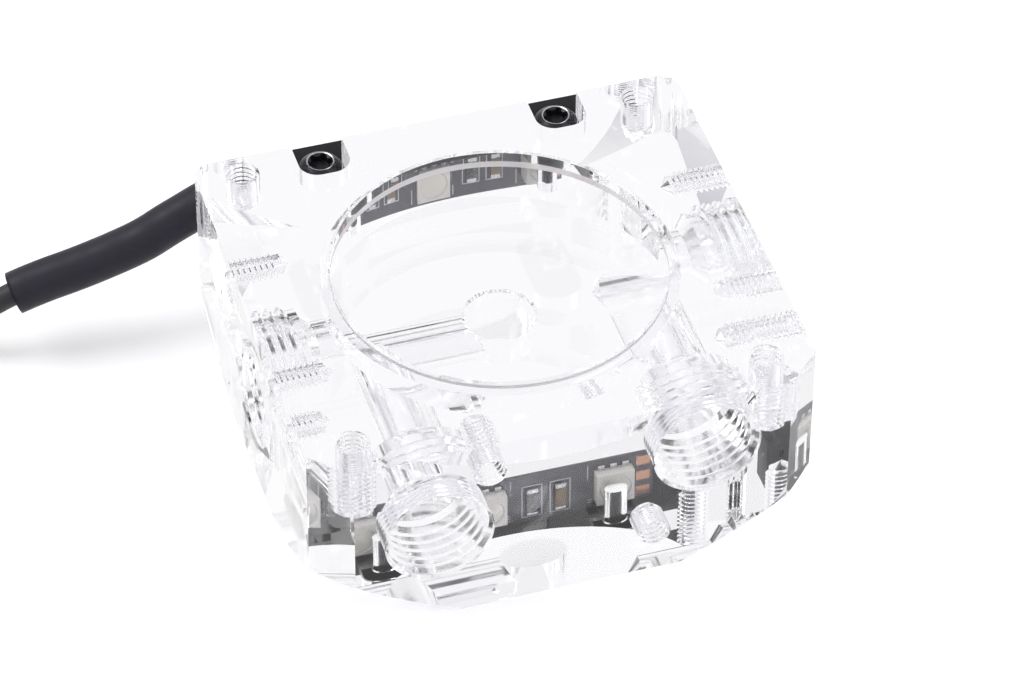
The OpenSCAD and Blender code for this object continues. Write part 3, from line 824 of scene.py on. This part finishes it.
class PUMPTOP_OT_strip(bpy.types.Operator):
    """Makes the strip's board with its outlines, the lights, chips and pads"""

    bl_idname = "pumptop.strip"
    bl_label = "Light strip"

    def boxes(self, name, mat, places, rounding):
        """A piece of small boxes, given by centre and size, with softened edges."""
        bm = bmesh.new()
        for centre, size in places:
            made = bmesh.ops.create_cube(bm, size=1.0)["verts"]
            bmesh.ops.scale(bm, vec=size, verts=made)
            bmesh.ops.translate(bm, vec=centre, verts=made)
        if rounding:
            soften(bm, rounding)
        finish_piece(name, bm, [mat], [])

    def outlines(self, lights, chips):
        """Ink outlines round the chips, and ticks and strokes beside the lights."""
        # White epoxy ink, screen printed: matt, and just proud of the board
        ink = moulded("white_epoxy_ink", "D9D9DC", 0.5, 0.65, 3.0, 0.1)
        bars = []
        for x, z in chips:
            for side in (-1, 1):
                bars.append(((x + side * OUTLINE_X, BOARD_FACE, z), (LINE, INK, 2 * OUTLINE_Z)))
                bars.append(((x, BOARD_FACE, z + side * OUTLINE_Z), (2 * OUTLINE_X + LINE, INK, LINE)))
        for x in lights:
            for side in (-1, 1):
                for k in range(3):
                    tick = (x + side * TICK_X, BOARD_FACE, BOARD_MIDDLE + TICK_TOP - k * TICK_STEP)
                    bars.append((tick, (TICK_LENGTH, INK, LINE)))
            for offset, drop, length in STROKES:
                bars.append(((x + offset, BOARD_FACE, BOARD_MIDDLE - drop), (LINE, INK, length)))
        self.boxes("printed_outlines", ink, bars, 0)

    def light_bodies(self, context, lights, face):
        """The lights' square bodies, each with a round cup in its face."""
        # White PPA, moulded: bright and half matt
        ppa = moulded("moulded_white_ppa", "E9E6DE", 0.4, 0.5, 2.0, 0.2)
        depth = BOARD_FACE - face
        bm = bmesh.new()
        for x in lights:
            made = bmesh.ops.create_cube(bm, size=1.0)["verts"]
            bmesh.ops.scale(bm, vec=(LIGHT_SIDE, depth, LIGHT_SIDE), verts=made)
            bmesh.ops.translate(bm, vec=(x, BOARD_FACE - depth / 2, BOARD_MIDDLE), verts=made)
        soften(bm, 0.12)
        body = solid(bm, ppa)
        cups = []
        for x in lights:
            mouth = (x, face - 0.1, BOARD_MIDDLE)
            cups.append(solid(round_bar(mouth, TO_BACK, CUP_DEPTH + 0.1, CUP_MOUTH, CUP_FLOOR, 64), ppa))
        for cup in cups:
            step = body.modifiers.new("cup", "BOOLEAN")
            step.operation = "DIFFERENCE"
            step.solver = "EXACT"
            step.object = cup
        evaluated = body.evaluated_get(context.evaluated_depsgraph_get())
        bm = bmesh.new()
        bm.from_mesh(evaluated.to_mesh())
        for tool in cups + [body]:
            bpy.data.objects.remove(tool)
        finish_piece("light_bodies", bm, [ppa], ["light_packages"])

    def light_resin(self, lights, face):
        """The resin that fills the cups."""
        # Silicone with a little yellow phosphor: smooth, warm white
        silicone = moulded("phosphor_silicone", "E9E5D8", 0.12, 0.2, 1.5, 0.15, coat=0.3)
        bm = bmesh.new()
        for x in lights:
            place = Matrix.Translation((x, face + RESIN_PLACE, BOARD_MIDDLE))
            bmesh.ops.create_cone(
                bm,
                cap_ends=True,
                segments=64,
                radius1=RESIN_RADII[0],
                radius2=RESIN_RADII[1],
                depth=RESIN_DEPTH,
                matrix=place @ Matrix.Rotation(math.pi / 2, 4, "X"),
            )
        soften(bm, 0.06, sharper_than=60)
        finish_piece("light_resin", bm, [silicone], ["light_lenses"])

    def solder_joints(self, lights, chips):
        """Solder on the lights' six legs each, and at the chips' ends."""
        # Tin solder on copper: bright, with frozen ripples
        tin = moulded("tin_solder_joint", "CFCFD2", 0.18, 0.35, 2.5, 0.4, metallic=0.9)
        joints = []
        for x in lights:
            for k in (-1, 0, 1):
                for side in (-1, 1):
                    place = (x + k * LEG_PITCH, BOARD_FACE - LEG[1] / 2, BOARD_MIDDLE + side * LEG_Z)
                    joints.append((place, LEG))
        for x, z in chips:
            for side in (-1, 1):
                place = (x, BOARD_FACE - CHIP_JOINT[1] / 2, z + side * CHIP_JOINT_Z)
                joints.append((place, CHIP_JOINT))
        self.boxes("solder_joints", tin, joints, 0.14)

    def execute(self, context):
        finish = context.scene.pump_top_finish
        low, high = box_mm("light_packages")
        lights = [low[0] + LIGHT_SIDE / 2, (low[0] + high[0]) / 2, high[0] - LIGHT_SIDE / 2]
        chips = []
        for node, half in CHIP_HALVES.items():
            a, b = box_mm(node)
            chips += [(a[0] + half, (a[2] + b[2]) / 2), (b[0] - half, (a[2] + b[2]) / 2)]
        # Flexible circuit: black solder mask over polyimide, satin
        mask = moulded("black_solder_mask", finish.board, 0.3, 0.42, 1.5, 0.3, coat=0.2)
        bm = merged_copy("strip_board")
        soften(bm, 0.05, segments=1)
        finish_piece("circuit_strip", bm, [mask], ["strip_board"])
        self.outlines(lights, chips)
        self.light_bodies(context, lights, low[1])
        self.light_resin(lights, low[1])
        self.solder_joints(lights, chips)
        # Glazed alumina resistor, and a sintered tan ceramic capacitor
        glaze = moulded("black_resistor_glaze", "2B2B30", 0.2, 0.32, 2.0, 0.15, coat=0.4)
        ceramic = moulded("tan_capacitor_ceramic", "8A7358", 0.35, 0.5, 2.0, 0.2)
        for node, mat, name in (
            ("chip_resistors", glaze, "resistor_chips"),
            ("chip_capacitors", ceramic, "capacitor_chips"),
        ):
            bm = merged_copy(node)
            soften(bm, 0.08)
            finish_piece(name, bm, [mat], [node])
        # Bare copper pads, flashed with a little solder
        copper = moulded("bare_copper_pad", "DDA888", 0.25, 0.4, 2.0, 0.2, metallic=0.7)
        bm = merged_copy("solder_pads")
        finish_piece("copper_pads", bm, [copper], ["solder_pads"])
        return {"FINISHED"}


# tie and connector
class PUMPTOP_OT_plug(bpy.types.Operator):
    """Finishes the coil's tie, the connector and its contacts"""

    bl_idname = "pumptop.plug"
    bl_label = "Tie and connector"

    def execute(self, context):
        # Nylon tie and housing, moulded, satin; contacts tin plated brass
        nylon = moulded("moulded_black_nylon", "29292C", 0.35, 0.5, 2.0, 0.25)
        contact = moulded("plated_brass_contact", "D6B36A", 0.2, 0.32, 3.0, 0.2, metallic=1.0)
        nodes = ("coil_tie", "connector", "connector_contacts")
        for node, name, mat, width in zip(nodes, LEAD_ENDS, (nylon, nylon, contact), (0.15, 0.2, 0.04)):
            bm = merged_copy(node)
            soften(bm, width)
            finish_piece(name, bm, [mat], [node])
        return {"FINISHED"}


# stage
CLEAR_BOUNCES = 28


class PUMPTOP_OT_stage(bpy.types.Operator):
    """Sets the pale floor, the surroundings and the soft lamps"""

    bl_idname = "pumptop.stage"
    bl_label = "Stage"

    def execute(self, context):
        scene = context.scene
        scene.view_settings.view_transform = "Standard"
        # Matt studio paper. What looks through the clear block sees the bare white paper.
        paper, tree = new_material("matt_studio_paper")
        matt = add_node(
            tree, "ShaderNodeBsdfDiffuse", inputs={"Color": linear(scene.pump_top_finish.floor)}
        )
        bare = add_node(tree, "ShaderNodeEmission", inputs={"Color": linear("FFFFFF"), "Strength": 1.0})
        path = add_node(tree, "ShaderNodeLightPath")
        seen = add_node(
            tree,
            "ShaderNodeMath",
            {"operation": "MAXIMUM"},
            links={0: path.outputs["Is Glossy Ray"], 1: path.outputs["Is Transmission Ray"]},
        )
        mix = add_node(
            tree,
            "ShaderNodeMixShader",
            links={0: seen.outputs[0], 1: matt.outputs["BSDF"], 2: bare.outputs["Emission"]},
        )
        finish_material(tree, mix.outputs["Shader"])
        bm = bmesh.new()
        bmesh.ops.create_grid(bm, x_segments=1, y_segments=1, size=4.0)
        mesh = bpy.data.meshes.new("floor")
        bm.to_mesh(mesh)
        bm.free()
        mesh.materials.append(paper)
        # the air under the block, as under the real one, makes its underside a mirror
        mesh.transform(Matrix.Translation((0, 0, -AIR * MM)))
        floor = bpy.data.objects.new("floor", mesh)
        scene.collection.objects.link(floor)
        # Surroundings: a pale room, darker towards the horizon, which gives the clear edges their lines
        world = bpy.data.worlds.new("pale_room")
        scene.world = world
        world.use_nodes = True
        tree = world.node_tree
        tree.nodes.clear()
        coord = add_node(tree, "ShaderNodeTexCoord")
        split = add_node(tree, "ShaderNodeSeparateXYZ", links={"Vector": coord.outputs["Generated"]})
        ramp = add_node(tree, "ShaderNodeValToRGB", links={"Fac": split.outputs["Z"]})
        ramp.color_ramp.elements[0].position = 0.0
        ramp.color_ramp.elements[0].color = linear("C9C9D2")
        ramp.color_ramp.elements[1].position = 0.45
        ramp.color_ramp.elements[1].color = linear("FFFFFF")
        room = add_node(
            tree, "ShaderNodeBackground", inputs={"Strength": 0.9}, links={"Color": ramp.outputs["Color"]}
        )
        white = add_node(tree, "ShaderNodeBackground", inputs={"Color": linear("FFFFFF"), "Strength": 1.0})
        path = add_node(tree, "ShaderNodeLightPath")
        mix = add_node(
            tree,
            "ShaderNodeMixShader",
            links={
                0: path.outputs["Is Camera Ray"],
                1: room.outputs["Background"],
                2: white.outputs["Background"],
            },
        )
        add_node(tree, "ShaderNodeOutputWorld", links={"Surface": mix.outputs["Shader"]})
        for name, place, size, power in (
            ("key_softbox", (-0.5, 0.3, 0.9), 0.5, 4.0),
            ("fill_softbox", (0.7, -0.5, 0.7), 0.6, 2.5),
        ):
            lamp = bpy.data.lights.new(name, "AREA")
            lamp.size = size
            lamp.energy = power
            holder = bpy.data.objects.new(name, lamp)
            aim = (Vector((0, 0, 0.01)) - Vector(place)).to_track_quat("-Z", "Y")
            holder.matrix_world = Matrix.Translation(Vector(place)) @ aim.to_matrix().to_4x4()
            scene.collection.objects.link(holder)
        # clear threads need more bounces than a scene starts with
        scene.cycles.max_bounces = CLEAR_BOUNCES
        scene.cycles.transmission_bounces = CLEAR_BOUNCES
        scene.cycles.glossy_bounces = 16
        return {"FINISHED"}


# panel and registration
class PUMPTOP_PT_panel(bpy.types.Panel):
    """Lists the pump top's operators"""

    bl_idname = "PUMPTOP_PT_panel"
    bl_label = "Pump Top"
    bl_space_type = "VIEW_3D"
    bl_region_type = "UI"
    bl_category = "Pump Top"

    def draw(self, context):
        for operator in OPERATORS:
            self.layout.operator(operator.bl_idname)


OPERATORS = [
    PUMPTOP_OT_camera,
    PUMPTOP_OT_plug,
    PUMPTOP_OT_lead,
    PUMPTOP_OT_stage,
    PUMPTOP_OT_block,
    PUMPTOP_OT_cover,
    PUMPTOP_OT_strip,
]
GROUPS = {
    "pump_top_camera": PumpTopCamera,
    "pump_top_block": PumpTopBlock,
    "pump_top_finish": PumpTopFinish,
}


def register():
    for cls in [*GROUPS.values(), *OPERATORS, PUMPTOP_PT_panel]:
        bpy.utils.register_class(cls)
    for name, group in GROUPS.items():
        setattr(bpy.types.Scene, name, bpy.props.PointerProperty(type=group))


def unregister():
    for name in GROUPS:
        delattr(bpy.types.Scene, name)
    for cls in reversed([*GROUPS.values(), *OPERATORS, PUMPTOP_PT_panel]):
        bpy.utils.unregister_class(cls)


def main():
    register()
    for operator in OPERATORS:
        group, call = operator.bl_idname.split(".")
        getattr(getattr(bpy.ops, group), call)()


if __name__ == "__main__":
    main()
